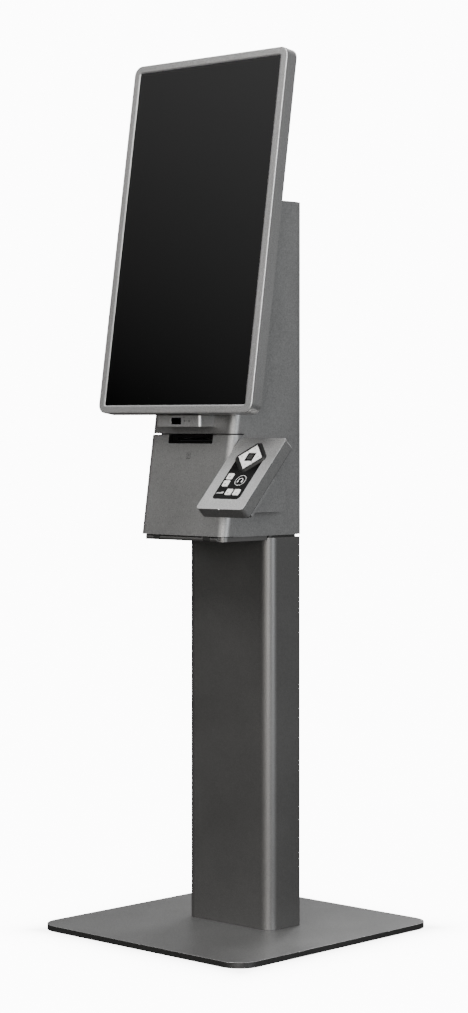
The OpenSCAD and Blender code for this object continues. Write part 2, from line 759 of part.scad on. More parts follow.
module printer_lid() color(black) difference() {
    union() {
        translate([-printer_w / 2 + ear_w + 0.5, printer_front - 1, printer_top + 7])
            cube([printer_w - 2 * ear_w - 1, lid_hinge_y - printer_front + 1, lid_t]);
        rod_x(0, lid_hinge_y, lid_hinge_z, 4, printer_w - 2 * ear_w - 1);
        rod_x(0, lid_hinge_y, lid_hinge_z, pin_r, printer_w - 1);
        translate([-printer_w / 2 + ear_w + 0.5, lid_hinge_y - 4, lid_hinge_z])
            cube([printer_w - 2 * ear_w - 1, 8, 4]);
        for (side = [-1, 1])
            translate([side * (roll_w / 2 + 2.5) - 1.5, platen_y - 4, platen_z - 3]) cube([3, 8, 10]);
    }
    rod_x(0, platen_y, platen_z, shaft_r + fit, printer_w);
}

module paper_roll() color(white) difference() {
    rod_x(0, roll_y, roll_z, roll_r, roll_w);
    rod_x(0, roll_y, roll_z, core_r, roll_w + 2);
}

module platen_roller() color(black) {
    rod_x(0, platen_y, platen_z, platen_r, roll_w);
    rod_x(0, platen_y, platen_z, shaft_r, roll_w + 9);
}

// ---------- keypad ----------

// Outline of one arrow key pointing up, bounded by the diagonals and by the diamond of the rim
module arrow_outline(reach) {
    slit = key_play * sqrt(2);
    polygon([[slit - arrow_in, arrow_in], [(slit - reach) / 2, (reach + slit) / 2], [0, reach],
        [(reach - slit) / 2, (reach + slit) / 2], [arrow_in - slit, arrow_in]]);
}

module diamond(side, r) rotate(45) round_outline(side, side, r);

// Prism standing between two depths of the keypad
module key_slab(low, high) on_keypad() translate([0, 0, low]) linear_extrude(high - low) children();

module square_outline(p, grow) translate(p) round_outline(square_key + 2 * grow, square_key + 2 * grow, 2);

module overlay_outline(play) difference() {
    translate([mid_x, (overlay_foot + pad_cy) / 2])
        round_outline(overlay_w + 2 * play, pad_cy - overlay_foot + 2 * play, overlay_r);
    translate([mid_x, pad_cy]) diamond(rim_side - 2 * play, rim_r);
}

module keypad_shell() color(silver) difference() {
    key_slab(-key_d, 0) translate([key_w / 2, key_l / 2]) round_outline(key_w, key_l, key_r);
    key_slab(-key_d - cut, -face_t) translate([key_w / 2, key_l / 2])
        round_outline(key_w - 2 * key_wall, key_l - 2 * key_wall, key_r - key_wall);
    key_slab(-recess, cut) overlay_outline(0.1);
    key_slab(-recess, cut) translate([mid_x, pad_cy]) diamond(rim_side + 0.2, rim_r);
    key_slab(-face_t - cut, cut) translate([mid_x, pad_cy]) diamond(rim_inner + 3, 1.5);
    key_slab(-face_t - cut, cut) for (p = square_keys_at) square_outline(p, key_play);
    key_slab(-face_t - cut, cut) translate([jack_x, jack_y]) circle(ring_r - 3);
    on_keypad() translate([mid_x, 0, 0]) sphere(r = jack_r);
}

module keypad_overlay() color(black) difference() {
    key_slab(-recess + 0.05, 0.2) overlay_outline(0);
    key_slab(-face_t - cut, cut) for (p = square_keys_at) square_outline(p, key_play);
    key_slab(-face_t - cut, cut) translate([jack_x, jack_y]) circle(ring_r - 3);
}

module arrow_rim() color(steel_dark) difference() {
    key_slab(-recess + 0.05, rim_h) translate([mid_x, pad_cy]) diamond(rim_side, rim_r);
    key_slab(-recess - cut, rim_h + cut) translate([mid_x, pad_cy]) diamond(rim_inner, 1);
}

// Plunger from the foot of a key down into its switch
module plunger(at, key_foot) on_keypad() translate([at[0], at[1], switch_top - 2.3])
    cylinder(r = plunger_r, h = key_foot - switch_top + 2.3);

// Key under the arrow rim: its flange reaches out below the rim
module arrow_key(turn) color(white) {
    on_keypad() translate([mid_x, pad_cy, arrow_foot]) rotate(turn) {
        linear_extrude(arrow_proud - arrow_foot) arrow_outline(arrow_reach);
        linear_extrude(flange_t) arrow_outline(arrow_reach + 1.6);
    }
    plunger([mid_x - arrow_switch * sin(turn), pad_cy + arrow_switch * cos(turn)], arrow_foot);
}

module arrow_up() arrow_key(0);
module arrow_left() arrow_key(90);
module arrow_down() arrow_key(180);
module arrow_right() arrow_key(-90);

module select_key() color(black) {
    key_slab(arrow_foot, select_proud) translate([mid_x, pad_cy])
        round_outline(select_side, select_side, 1);
    plunger([mid_x, pad_cy], arrow_foot);
}

// Square key: its flange lies under the face of the casing
module square_key_at(p) color(white) {
    key_slab(square_foot, square_proud) square_outline(p, 0);
    key_slab(square_foot, square_foot + flange_t) square_outline(p, key_flange);
    plunger(p, square_foot);
}

module volume_down() square_key_at(square_keys_at[0]);
module volume_up() square_key_at(square_keys_at[1]);
module back_key() square_key_at(square_keys_at[2]);
module next_key() square_key_at(square_keys_at[3]);

switches_at = concat(square_keys_at, [[mid_x, pad_cy]],
    [for (turn = [0 : 90 : 270]) [mid_x - arrow_switch * sin(turn), pad_cy + arrow_switch * cos(turn)]]);

// Circuit board with a bored switch under each key
module keypad_board() color(green) {
    key_slab(board_n - board_t, board_n) translate([key_w / 2, key_l / 2])
        round_outline(key_w - 2 * (key_wall + gap), key_l - 2 * (key_wall + gap), key_r - key_wall);
    for (p = switches_at) difference() {
        key_slab(board_n, switch_top) translate(p) circle(switch_r);
        key_slab(switch_top - 4, switch_top + cut) translate(p) circle(plunger_r + 0.5);
    }
}

module audio_socket() color(white) difference() {
    key_slab(board_n, jack_proud) translate([jack_x, jack_y]) circle(ring_r - 3 - gap);
    key_slab(jack_foot, jack_proud + cut) translate([jack_x, jack_y]) circle(jack_r);
}

module keypad_back() color(black) difference() {
    key_slab(-key_d - lid_gap, -key_d) translate([key_w / 2, key_l / 2])
        round_outline(key_w - 2 * lid_inset, key_l - 2 * lid_inset, key_r - lid_inset);
    key_slab(-key_d - lid_gap - cut, -key_d + cut) translate([key_w / 2, key_l / 2]) circle(lead_r);
}

// Where the back of the bracket's plate stands at a height
function plate_y(z) = key_y - plate_back * sin(key_lean) + (z - key_z
    - plate_back * cos(key_lean)) / tan(key_lean);

module along_x(x_low, x_high) translate([x_low, 0, 0]) rotate([90, 0, 90])
    linear_extrude(x_high - x_low) children();

module bracket_side(inset) polygon([[bracket_back - inset, bracket_low + inset],
    [bracket_back - inset, bracket_high - inset], [plate_y(bracket_high - inset) - 1 + 2 * inset,
        bracket_high - inset],
    [plate_y(bracket_low + inset) - 1 + 2 * inset, bracket_low + inset]]);

// Folded bracket: a plate behind the keypad and a hollow arm along the side of the head
module keypad_bracket() color(steel_mid) difference() {
    union() {
        key_slab(plate_back, plate_back + plate_t) translate([plate_inset, plate_foot])
            square([key_w - 2 * plate_inset, plate_head - plate_foot]);
        along_x(bracket_x, bracket_out) bracket_side(0);
        along_x(half_head, bracket_out) intersection() {
            bracket_side(0);
            translate([bracket_land, 0]) square([head_depth, 2 * head_top]);
        }
    }
    along_x(bracket_x + bracket_wall, bracket_out - bracket_wall) bracket_side(bracket_wall);
    rod_x(half_head, (bracket_land + bracket_back) / 2, bracket_mid, lead_r, 16);
    for (y = bracket_bolts_y) rod_x(half_head, y, bracket_mid, bracket_bolt_r + fit, 16);
}

module bracket_bolts() color(zinc) for (y = bracket_bolts_y) {
    rod_x(half_head + 1.5, y, bracket_mid, bracket_bolt_r, 6 + head_wall);
    rod_x(half_head - head_wall - 1.75, y, bracket_mid, 4.5, 3.5);
}

base_plate();
base_pads();
foot_plate();
column_bolts();
column_tube();
column_cap_plate();
neck_plate();
cable_grommet();
inlet_panel();
rear_sockets();
head_shell();
head_floor();
bottom_tray();
top_cover();
spine_frame();
printer_shelf();
computer_case();
power_supply();
rear_door();
rear_door_leaves();
rear_hinges();
rear_hinge_pins();
lock_barrel();
lock_plug();
lock_cam();
screen_frame();
cover_glass();
screen_panel();
screen_back();
screen_arm();
screen_screws();
arm_bolts();
scanner_housing();
scanner_window();
scan_engine();
printer_door();
receipt_bezel();
door_hinge_pins();
door_magnets();
printer_body();
printer_lid();
paper_roll();
platen_roller();
keypad_shell();
keypad_overlay();
arrow_rim();
keypad_board();
keypad_back();
audio_socket();
keypad_bracket();
bracket_bolts();
arrow_up();
arrow_down();
arrow_left();
arrow_right();
select_key();
volume_up();
volume_down();
back_key();
next_key();
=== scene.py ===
import json
import math
import bmesh
import bpy
import numpy as np
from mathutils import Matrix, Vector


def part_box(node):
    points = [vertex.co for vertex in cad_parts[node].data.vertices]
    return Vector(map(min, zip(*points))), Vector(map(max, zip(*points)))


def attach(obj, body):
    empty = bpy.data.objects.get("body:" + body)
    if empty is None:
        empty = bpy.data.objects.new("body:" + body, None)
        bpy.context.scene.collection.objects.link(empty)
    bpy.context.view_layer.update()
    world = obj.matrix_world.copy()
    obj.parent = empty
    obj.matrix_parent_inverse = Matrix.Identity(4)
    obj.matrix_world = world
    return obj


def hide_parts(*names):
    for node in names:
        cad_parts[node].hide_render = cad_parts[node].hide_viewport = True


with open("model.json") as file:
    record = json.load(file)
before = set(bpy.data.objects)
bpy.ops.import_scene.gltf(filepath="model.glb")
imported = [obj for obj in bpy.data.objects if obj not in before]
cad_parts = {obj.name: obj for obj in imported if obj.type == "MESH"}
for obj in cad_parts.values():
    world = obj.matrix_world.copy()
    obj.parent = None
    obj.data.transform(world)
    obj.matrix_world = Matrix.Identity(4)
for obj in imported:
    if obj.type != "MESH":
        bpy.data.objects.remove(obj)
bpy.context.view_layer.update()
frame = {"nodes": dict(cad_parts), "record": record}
record = frame["record"]
mm = 0.001

nodeBody = {node: body for body, nodes in record["behaviour"]["bodies"].items() for node in nodes}
joints = {joint["name"]: joint for joint in record["behaviour"]["joints"]}


camera = {
    "place": (2.9842, -3.1395, 0.884),
    "turn": 43.593,          # degrees about Z, from looking along +Y
    "lens": 87.71,
    "sensor": 36.0,
    "shiftY": -0.0806,
}


def makeCamera(settings):
    data = bpy.data.cameras.new("camera")
    data.lens = settings["lens"]
    data.sensor_width = settings["sensor"]
    data.shift_y = settings["shiftY"]
    data.clip_end = 50
    rig = bpy.data.objects.new("camera", data)
    rig.location = settings["place"]
    rig.rotation_euler = (math.radians(90), 0, math.radians(settings["turn"]))
    bpy.context.scene.collection.objects.link(rig)
    bpy.context.scene.camera = rig


makeCamera(camera)
print("camera set")


# A socket that carries a number, so that sums of sockets read as sums
class Value:
    def __init__(self, finish, socket):
        self.finish = finish
        self.socket = socket

    def maths(self, operation, first, second):
        return self.finish.node("Math", {"operation": operation}, {0: first, 1: second})

    def __add__(self, other):
        return self.maths("ADD", self, other)

    def __radd__(self, other):
        return self.maths("ADD", other, self)

    def __sub__(self, other):
        return self.maths("SUBTRACT", self, other)

    def __rsub__(self, other):
        return self.maths("SUBTRACT", other, self)

    def __mul__(self, other):
        return self.maths("MULTIPLY", self, other)

    def __rmul__(self, other):
        return self.maths("MULTIPLY", other, self)

    def __pow__(self, other):
        return self.maths("POWER", self, other)


# One node tree and the few ways in which nodes are added to it
class Finish:
    def __init__(self, tree):
        self.tree = tree

    # Adds a node: settings first, then its sockets by name or number, given values or links
    def node(self, kind, settings, sockets, output=0):
        made = self.tree.nodes.new("ShaderNode" + kind)
        for key, value in settings.items():
            setattr(made, key, value)
        for key, value in sockets.items():
            self.feed(made.inputs[key], value)
        return Value(self, made.outputs[output])

    def feed(self, socket, value):
        if isinstance(value, Value):
            self.tree.links.new(value.socket, socket)
        elif hasattr(value, "__len__") and len(value) == 3 and socket.type == "RGBA":
            socket.default_value = (*value, 1)
        else:
            socket.default_value = value

    # Gives one of the shader's own sockets a value or a link
    def paint(self, socket, value):
        self.feed(self.shader.inputs[socket], value)

    # The x, y and z of a vector
    def split(self, vector):
        return [self.node("SeparateXYZ", {}, {0: vector}, axis) for axis in range(3)]

    def coordinates(self, stretch=(1, 1, 1)):
        place = self.node("TexCoord", {}, {}, "Object")
        return self.node("Mapping", {}, {"Vector": place, "Scale": stretch})

    def noise(self, scale, detail=2.0, stretch=(1, 1, 1), roughness=0.5):
        sockets = {
            "Vector": self.coordinates(stretch),
            "Scale": scale,
            "Detail": detail,
            "Roughness": roughness,
        }
        return self.node("TexNoise", {}, sockets)

    # Runs a number through a straight ramp between two limits, held at 0 and 1 outside them
    def between(self, value, low, high):
        settings = {"clamp": True}
        return self.node("MapRange", settings, {"Value": value, "From Min": low, "From Max": high})

    def blend(self, factor, first, second):
        sockets = {0: factor, 6: first, 7: second}
        return self.node("Mix", {"data_type": "RGBA"}, sockets, 2)

    # Mixes a darker and a brighter share of one colour
    def shades(self, factor, colour, low, high):
        return self.blend(factor, [low * level for level in colour], [high * level for level in colour])

    def bump(self, height, depth, strength=1.0):
        return self.node("Bump", {}, {"Height": height, "Distance": depth, "Strength": strength})


# Starts a material: fixed values go straight onto the shader's own sockets
def newFinish(name, fixed):
    material = bpy.data.materials.new(name)
    material.use_nodes = True
    finish = Finish(material.node_tree)
    finish.material = material
    finish.shader = material.node_tree.nodes["Principled BSDF"]
    for socket, value in fixed.items():
        finish.paint(socket, value)
    return finish


def grey(level, warmth=0.0):
    return (level * (1 + warmth), level, level * (1 - warmth))


studio = {
    "shade": 0.0,            # what the metal mirrors low in front of the object
    "front": 0.58,           # the bright wall above it
    "frontRise": (0.19, 0.42),
    "frontLean": 0.55,       # how much sooner the wall starts on the right
    "backdrop": (0.15, 0.40),  # left and right
    "backdropRamp": (-0.75, -0.60),
    "overhead": 1.0,
    "shown": 12.0,           # what the camera sees past the floor
    "key": {
        "size": (1.5, 1.2), "place": (0.25, -1.9, 3.0), "aim": (0, 0, 0.95), "power": 65,
        "tint": (1, 0.99, 0.97),
    },
    "warmStrip": {
        "size": (0.45, 2.4), "place": (0.75, -2.9, 1.15), "aim": (0.1, 0, 0.75), "power": 15,
        "tint": (1, 0.93, 0.86),
    },
    "cornerWash": {
        "size": (0.9, 2.4), "place": (3.5, -4.4, 1.1), "aim": (0.1, 0, 0.75), "power": 150,
        "tint": (1, 0.98, 0.95),
    },
    "backLight": {
        "size": (1.6, 1.6), "place": (-0.9, 3.2, 2.7), "aim": (0, 0, 0.8), "power": 60,
        "tint": (1, 1, 1),
    },
    "coolStrip": {
        "size": (0.45, 2.4), "place": (3.2, -0.25, 1.25), "aim": (0.1, 0, 0.75), "power": 50,
        "tint": (0.93, 0.97, 1),
    },
}


def addLight(name, settings):
    data = bpy.data.lights.new(name, "AREA")
    data.shape = "RECTANGLE"
    data.size, data.size_y = settings["size"]
    data.energy = settings["power"]
    data.color = settings["tint"]
    lamp = bpy.data.objects.new(name, data)
    lamp.location = settings["place"]
    lamp.visible_camera = False
    reach = np.subtract(settings["aim"], settings["place"])
    flat = math.hypot(reach[0], reach[1])
    lamp.rotation_euler = (math.atan2(flat, -reach[2]), 0, math.atan2(-reach[0], reach[1]))
    bpy.context.scene.collection.objects.link(lamp)


for lampName in ("key", "warmStrip", "cornerWash", "coolStrip", "backLight"):
    addLight(lampName, studio[lampName])


def lightWorld(settings):
    world = bpy.data.worlds.new("studio")
    bpy.context.scene.world = world
    world.use_nodes = True
    finish = Finish(world.node_tree)
    background = world.node_tree.nodes["Background"]
    direction = finish.node("TexCoord", {}, {}, "Generated")
    across, along, up = finish.split(direction)
    behind = finish.between(along, -0.2, 0.6)
    rise = up + (across + 0.7) * settings["frontLean"]
    front = finish.between(rise, *settings["frontRise"]) * (settings["front"] - settings["shade"])
    above = finish.between(up, 0.45, 0.95)
    low = (front + settings["shade"]) * (1 - above) + above * settings["overhead"]
    left, right = settings["backdrop"]
    wall = finish.between(across, *settings["backdropRamp"]) * (right - left) + left
    soft = low * (1 - behind) + behind * wall
    seen = finish.node("LightPath", {}, {}, "Is Camera Ray")
    finish.feed(background.inputs["Strength"], soft * (1 - seen) + seen * settings["shown"])
    finish.feed(background.inputs["Color"], (1, 1, 1))


lightWorld(studio)

floor = {
    "size": 16.0,
    "mirrored": 0.06,
    "shown": 12.0,
    "contact": 0.45,         # painted contact shadow: how much darker the floor is right beside the base
    "fade": 0.03,            # and over what distance
}


# Square of the given side at floor level, white to the camera and dark in the metal, with a painted
# contact shadow: the white falls off beside the base by a share times exp(-d / fade), with d the
# distance to the base's outline
def makeFloor(settings):
    half = settings["size"] / 2
    corners = [(-half, -half, 0), (half, -half, 0), (half, half, 0), (-half, half, 0)]
    mesh = bpy.data.meshes.new("floor")
    mesh.from_pydata(corners, [], [(0, 1, 2, 3)])
    fixed = {"Specular IOR Level": 0.1, "Emission Strength": settings["shown"]}
    finish = newFinish("floorPaint", fixed)
    place = finish.split(finish.coordinates())
    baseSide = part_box("base_plate")[1]
    gaps = []
    for axis in (0, 1):
        away = finish.node("Math", {"operation": "ABSOLUTE"}, {0: place[axis]})
        beyond = away - float(baseSide[axis])
        gaps.append(finish.node("Math", {"operation": "MAXIMUM"}, {0: beyond, 1: 0.0}))
    distance = (gaps[0] ** 2 + gaps[1] ** 2) ** 0.5
    paintedShadowFall = finish.node("Math", {"operation": "EXPONENT"}, {0: distance * (-1 / settings["fade"])})
    seen = finish.node("LightPath", {}, {}, "Is Camera Ray")
    glow = finish.blend(seen * (1 - paintedShadowFall * settings["contact"]), (0, 0, 0), (1, 1, 1))
    finish.paint("Emission Color", glow)
    paint = finish.noise(1.5) * 0.1
    level = settings["mirrored"]
    finish.paint("Base Color", finish.shades(paint, grey(level), 1.0, 0.8))
    finish.paint("Roughness", paint + 0.8)
    mesh.materials.append(finish.material)
    thing = bpy.data.objects.new("floor", mesh)
    bpy.context.scene.collection.objects.link(thing)


makeFloor(floor)
print("studio lit")


# Satin metallic lacquer on sheet metal: a fine even grain, a slow cloud in tone and faint rubbing
def satinMetal(name, settings):
    fixed = {
        "Metallic": settings["metallic"], "Specular IOR Level": 0.5,
        "Coat Weight": 0.0, "Coat Roughness": 0.3,
    }
    finish = newFinish(name, fixed)
    grain = finish.noise(settings["grainScale"], 2.0, settings["stretch"])
    speck = finish.noise(settings["grainScale"] * 0.35, 1.0, settings["stretch"])
    cloud = finish.noise(7.0, 3.0)
    tone = (grain - 0.5) * settings["grain"] + (speck - 0.5) * settings["speck"]
    tone = tone + (cloud - 0.5) * settings["cloud"]
    finish.paint("Base Color", finish.shades(tone + 0.5, settings["tone"], 0.5, 1.5))
    rough = (cloud - 0.5) * 0.12 + (speck - 0.5) * 0.08 + settings["roughness"]
    finish.paint("Roughness", rough)
    height = grain * 0.6 + speck * 0.4
    finish.paint("Normal", finish.bump(height, settings["bump"], 0.6))
    return finish.material


# Moulded plastic: a fine spark-eroded texture in the bump, and a slow change of gloss
def mouldedPlastic(name, settings):
    finish = newFinish(name, {"Specular IOR Level": settings.get("shine", 0.5)})
    skin = finish.noise(settings["grainScale"], 2.0)
    cloud = finish.noise(12.0, 2.0)
    tone = (cloud - 0.5) * 0.25 + (skin - 0.5) * 0.2 + 0.5
    finish.paint("Base Color", finish.shades(tone, settings["tone"], 0.8, 1.2))
    finish.paint("Roughness", (cloud - 0.5) * 0.1 + settings["roughness"])
    finish.paint("Normal", finish.bump(skin, settings["bump"], 0.5))
    return finish.material


# Zinc plate: patches of slightly different grey from a cell pattern, with fine scratches
def zincPlate(name, settings):
    finish = newFinish(name, {"Metallic": 0.9})
    sockets = {"Vector": finish.coordinates(), "Scale": settings["spangle"]}
    cells = finish.node("TexVoronoi", {}, sockets, "Color")
    patch = finish.node("SeparateColor", {}, {0: cells}, 0)
    scratch = finish.noise(350.0, 3.0, (1, 1, 0.08))
    tone = patch * 0.3 + (scratch - 0.5) * 0.4 + 0.35
    finish.paint("Base Color", finish.shades(tone, settings["tone"], 0.7, 1.25))
    finish.paint("Roughness", patch * 0.12 + scratch * 0.15 + settings["roughness"])
    finish.paint("Normal", finish.bump(scratch, 0.00002, 0.4))
    return finish.material


# Black display glass: a mirror-smooth face with a barely visible smear in its gloss
def displayGlass(name, settings):
    finish = newFinish(name, {"IOR": settings["index"], "Specular IOR Level": settings["mirror"]})
    smear = finish.noise(6.0, 4.0, (1, 1, 0.4))
    low, high = grey(settings["low"]), grey(settings["high"])
    finish.paint("Base Color", finish.blend(smear, low, high))
    finish.paint("Roughness", (smear - 0.5) * 0.04 + settings["roughness"])
    return finish.material


# Thermal paper wound on a core: rings from the distance to the roll's axis
def woundPaper(name, settings):
    finish = newFinish(name, {"Specular IOR Level": 0.2, "Roughness": 0.8})
    fibre = finish.noise(900.0, 3.0, (0.3, 1, 1))
    across, along, up = finish.split(finish.coordinates())
    away = (along - settings["axisY"]) ** 2 + (up - settings["axisZ"]) ** 2
    turns = finish.node("Math", {"operation": "SINE"}, {0: (away ** 0.5) * settings["turns"]})
    tone = turns * 0.12 + fibre * 0.3 + 0.3
    finish.paint("Base Color", finish.blend(tone, (0.66, 0.65, 0.62), (0.9, 0.89, 0.86)))
    finish.paint("Normal", finish.bump(turns + fibre * 0.5, 0.00008, 0.6))
    return finish.material


# Solder mask on a board, with thin tracks along the edges of a cell pattern
def circuitBoard(name):
    finish = newFinish(name, {"Specular IOR Level": 0.6, "Roughness": 0.35})
    sockets = {"Vector": finish.coordinates(), "Scale": 140.0}
    cells = finish.node("TexVoronoi", {"feature": "DISTANCE_TO_EDGE"}, sockets)
    track = finish.between(cells, 0.02, 0.05)
    finish.paint("Base Color", finish.blend(track, (0.05, 0.3, 0.12), (0.01, 0.1, 0.045)))
    finish.paint("Normal", finish.bump(track, 0.00005, 0.5))
    return finish.material


metalLooks = {
    "head_metal": {"tone": grey(0.27), "metallic": 0.82, "roughness": 0.48},
    "column_metal": {"tone": grey(0.155, 0.01), "metallic": 0.85, "roughness": 0.46, "speck": 0.35},
    "base_metal": {"tone": grey(0.26), "metallic": 0.82, "roughness": 0.42},
    "frame_metal": {"tone": grey(0.50), "metallic": 0.85, "roughness": 0.40},
    "silver_metal": {"tone": grey(0.6), "metallic": 0.85, "roughness": 0.38},
    # Painted light: the next four are darker and lighter copies of the metal, giving side and rim faces
    # painted shade and turned edges a painted highlight
    "frame_side": {"tone": grey(0.29), "metallic": 0.82, "roughness": 0.42},
    "bright_edge": {"tone": grey(0.8), "metallic": 0.85, "roughness": 0.42},
    "base_side": {"tone": grey(0.07), "metallic": 0.82, "roughness": 0.42},
    "pad_side": {"tone": grey(0.22), "metallic": 0.82, "roughness": 0.42},
    "bare_steel": {"tone": grey(0.06), "metallic": 0.4, "roughness": 0.5},
}
metalGrain = {
    "grainScale": 1500.0, "grain": 0.5, "speck": 0.85, "cloud": 0.25, "bump": 0.00006,
    "stretch": (1, 1, 1),
}
finishes = {name: satinMetal(name, {**metalGrain, **look}) for name, look in metalLooks.items()}

plasticLooks = {
    "black_plastic": {"tone": grey(0.018), "roughness": 0.45, "grainScale": 1400.0, "bump": 0.00004},
    "gloss_black": {
        "tone": grey(0.004), "roughness": 0.16, "grainScale": 300.0, "bump": 0.000004, "shine": 0.1,
    },
    # Black plastic made darker and duller than the rest: painted shade that keeps the receipt slot dark
    "slot_black": {
        "tone": grey(0.003), "roughness": 0.6, "grainScale": 1400.0, "bump": 0.00004, "shine": 0.08,
    },
    "key_white": {"tone": grey(0.88, 0.01), "roughness": 0.42, "grainScale": 1600.0, "bump": 0.00002},
    "rubber": {"tone": grey(0.02), "roughness": 0.75, "grainScale": 900.0, "bump": 0.00008},
    "rim_plastic": {
        "tone": grey(0.012), "roughness": 0.3, "grainScale": 1600.0, "bump": 0.00002, "shine": 0.25,
    },
    "pad_grey": {"tone": grey(0.03), "roughness": 0.4, "grainScale": 1600.0, "bump": 0.00002},
    "ink_dark": {"tone": grey(0.012), "roughness": 0.5, "grainScale": 2500.0, "bump": 0.00001},
    "ink_light": {"tone": grey(0.85), "roughness": 0.5, "grainScale": 2500.0, "bump": 0.00001},
}
finishes.update({name: mouldedPlastic(name, look) for name, look in plasticLooks.items()})
finishes["zinc"] = zincPlate("zinc", {"tone": grey(0.5, 0.01), "spangle": 90.0, "roughness": 0.3})
glassLook = {"index": 1.5, "mirror": 0.95, "low": 0.0004, "high": 0.001, "roughness": 0.06}
finishes["screen_glass"] = displayGlass("screen_glass", glassLook)
rollAxis = joints["paper_roll_spin"]["pos_m"]
rollLook = {"axisY": rollAxis[1], "axisZ": rollAxis[2], "turns": 9000.0}
finishes["paper"] = woundPaper("paper", rollLook)
finishes["board"] = circuitBoard("board")
print("finishes made:", len(finishes))


doorPivot = joints["printer_door_hinge"]["pos_m"]
keyAxis = joints["select_key_press"]["axis"]
headFoot = {"lean": 8.5, "ahead": 5 * mm, "above": 4 * mm}   # degrees, and from the door's pins
lean = {
    "angle": math.radians(headFoot["lean"]),
    "y": doorPivot[1] - headFoot["ahead"],
    "z": doorPivot[2] + headFoot["above"],
}
padLow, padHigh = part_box("keypad_shell")
pad = {
    "angle": math.atan2(keyAxis[1], -keyAxis[2]),
    "depth": 21 * mm,
    "x": padLow[0],
    "y": padLow[1],
}
pad["z"] = padLow[2] + pad["depth"] * math.cos(pad["angle"])
pad["length"] = (padHigh[2] - pad["z"]) / math.sin(pad["angle"])
pad["width"] = padHigh[0] - padLow[0]


# Leaning frame of the head's front: x right, depth into the head, rise up the front.
# y = y0 + depth cos a + rise sin a, z = z0 - depth sin a + rise cos a
def onHead(x, depth, rise):
    c, s = math.cos(lean["angle"]), math.sin(lean["angle"])
    x, depth, rise = np.broadcast_arrays(x, depth, rise)
    y = lean["y"] + depth * c + rise * s
    z = lean["z"] - depth * s + rise * c
    return np.stack([x, y, z], axis=-1)


# Frame of the keypad's face: x right, s up the face, n out of it.
# y = y0 + s cos a - n sin a, z = z0 + s sin a + n cos a
def onKeypad(x, s, n):
    c, q = math.cos(pad["angle"]), math.sin(pad["angle"])
    x, s, n = np.broadcast_arrays(x, s, n)
    return np.stack([pad["x"] + x, pad["y"] + s * c - n * q, pad["z"] + s * q + n * c], axis=-1)


def upright(x, y, z):
    return np.stack(np.broadcast_arrays(x, y, z), axis=-1)


# Rounded rectangles in rings. For an inset i and radius r, each corner is the arc
# (w/2 - i - r, d/2 - i - r) + r (cos a, sin a) with a over its quarter, r = corner radius - i
def roundedRings(width, depth, radii, insets, steps):
    quarter = np.arange(4)[:, None] * 90 + np.linspace(0, 90, steps + 1)[None, :]
    turn = np.radians(quarter)[None]
    signX = np.array([1, -1, -1, 1])
    signY = np.array([1, 1, -1, -1])
    insets = np.asarray(insets, float)[:, None]
    r = np.maximum(np.broadcast_to(radii, 4)[None, :] - insets, 0.03 * mm)
    x = (signX * (width / 2 - insets - r))[:, :, None] + r[:, :, None] * np.cos(turn)
    y = (signY * (depth / 2 - insets - r))[:, :, None] + r[:, :, None] * np.sin(turn)
    return x.reshape(len(insets), -1), y.reshape(len(insets), -1)


# Profile with its corners turned: a corner of radius r between unit arms u and v starts at
# p + u r / tan(half) and follows a circle about p + (u + v)/|u + v| r / sin(half); a point just
# beyond each end keeps the flat next to it flat
def turnedProfile(points, radii, steps=4, closed=False):
    hold = 0.25 * mm
    points = np.asarray(points, float)
    count = len(points)
    made = []
    for index, radius in enumerate(radii):
        corner = points[index]
        if radius <= 0 or (not closed and index in (0, count - 1)):
            made.append(corner[None])
            continue
        u = points[index - 1] - corner
        v = points[(index + 1) % count] - corner
        u, v = u / np.linalg.norm(u), v / np.linalg.norm(v)
        half = math.acos(np.clip(u @ v, -1, 1)) / 2
        middle = corner + (u + v) / np.linalg.norm(u + v) * radius / math.sin(half)
        start = corner + u * radius / math.tan(half)
        end = corner + v * radius / math.tan(half)
        a0 = math.atan2(*(start - middle)[::-1])
        sweep = (math.atan2(*(end - middle)[::-1]) - a0 + math.pi) % (2 * math.pi) - math.pi
        a = a0 + sweep * np.linspace(0, 1, steps + 1)
        arc = middle + radius * np.stack([np.cos(a), np.sin(a)], axis=-1)
        made.append(np.vstack([start + u * hold, arc, end + v * hold]))
    return np.vstack(made)


# Quads between rows of a grid of points; across closes each row, along closes the rows too
def gridFaces(rows, columns, across=True, along=False):
    i = np.arange(rows if along else rows - 1)[:, None]
    j = np.arange(columns if across else columns - 1)[None, :]
    i2, j2 = (i + 1) % rows, (j + 1) % columns
    here, there = i * columns, i2 * columns
    quads = np.stack(np.broadcast_arrays(here + j, here + j2, there + j2, there + j), axis=-1)
    return quads.reshape(-1, 4).tolist()


def bodyOf(body, replaced):
    return body or nodeBody[replaced[0]]


# Puts points and faces into a mesh, faces outward, and hands the piece to its body
def addPiece(name, points, faces, look, replaced=(), body=None, slot=None, sharp=50):
    mesh = bpy.data.meshes.new(name)
    mesh.from_pydata(np.asarray(points).reshape(-1, 3).tolist(), [], faces)
    tidy = bmesh.new()
    tidy.from_mesh(mesh)
    bmesh.ops.remove_doubles(tidy, verts=tidy.verts, dist=1e-6)
    bmesh.ops.recalc_face_normals(tidy, faces=tidy.faces)
    tidy.to_mesh(mesh)
    tidy.free()
    mesh.shade_smooth()
    mesh.set_sharp_from_angle(angle=math.radians(sharp))
    mesh.materials.append(finishes[look])
    piece = bpy.data.objects.new(name, mesh)
    bpy.context.scene.collection.objects.link(piece)
    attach(piece, bodyOf(body, replaced))
    if replaced:
        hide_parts(*replaced)
    return piece


# Slab with a rounded outline: its (inset, level) profile is carried round, and both ends closed
def addSlab(name, place, size, radii, profile, look, steps=8, **owner):
    insets, levels = np.asarray(profile).T
    x, y = roundedRings(size[0], size[1], radii, insets, steps)
    points = place(x, y, levels[:, None])
    rows, columns = x.shape
    caps = [list(range(columns)), list(range((rows - 1) * columns, rows * columns))]
    return addPiece(name, points, gridFaces(rows, columns) + caps, look, **owner)


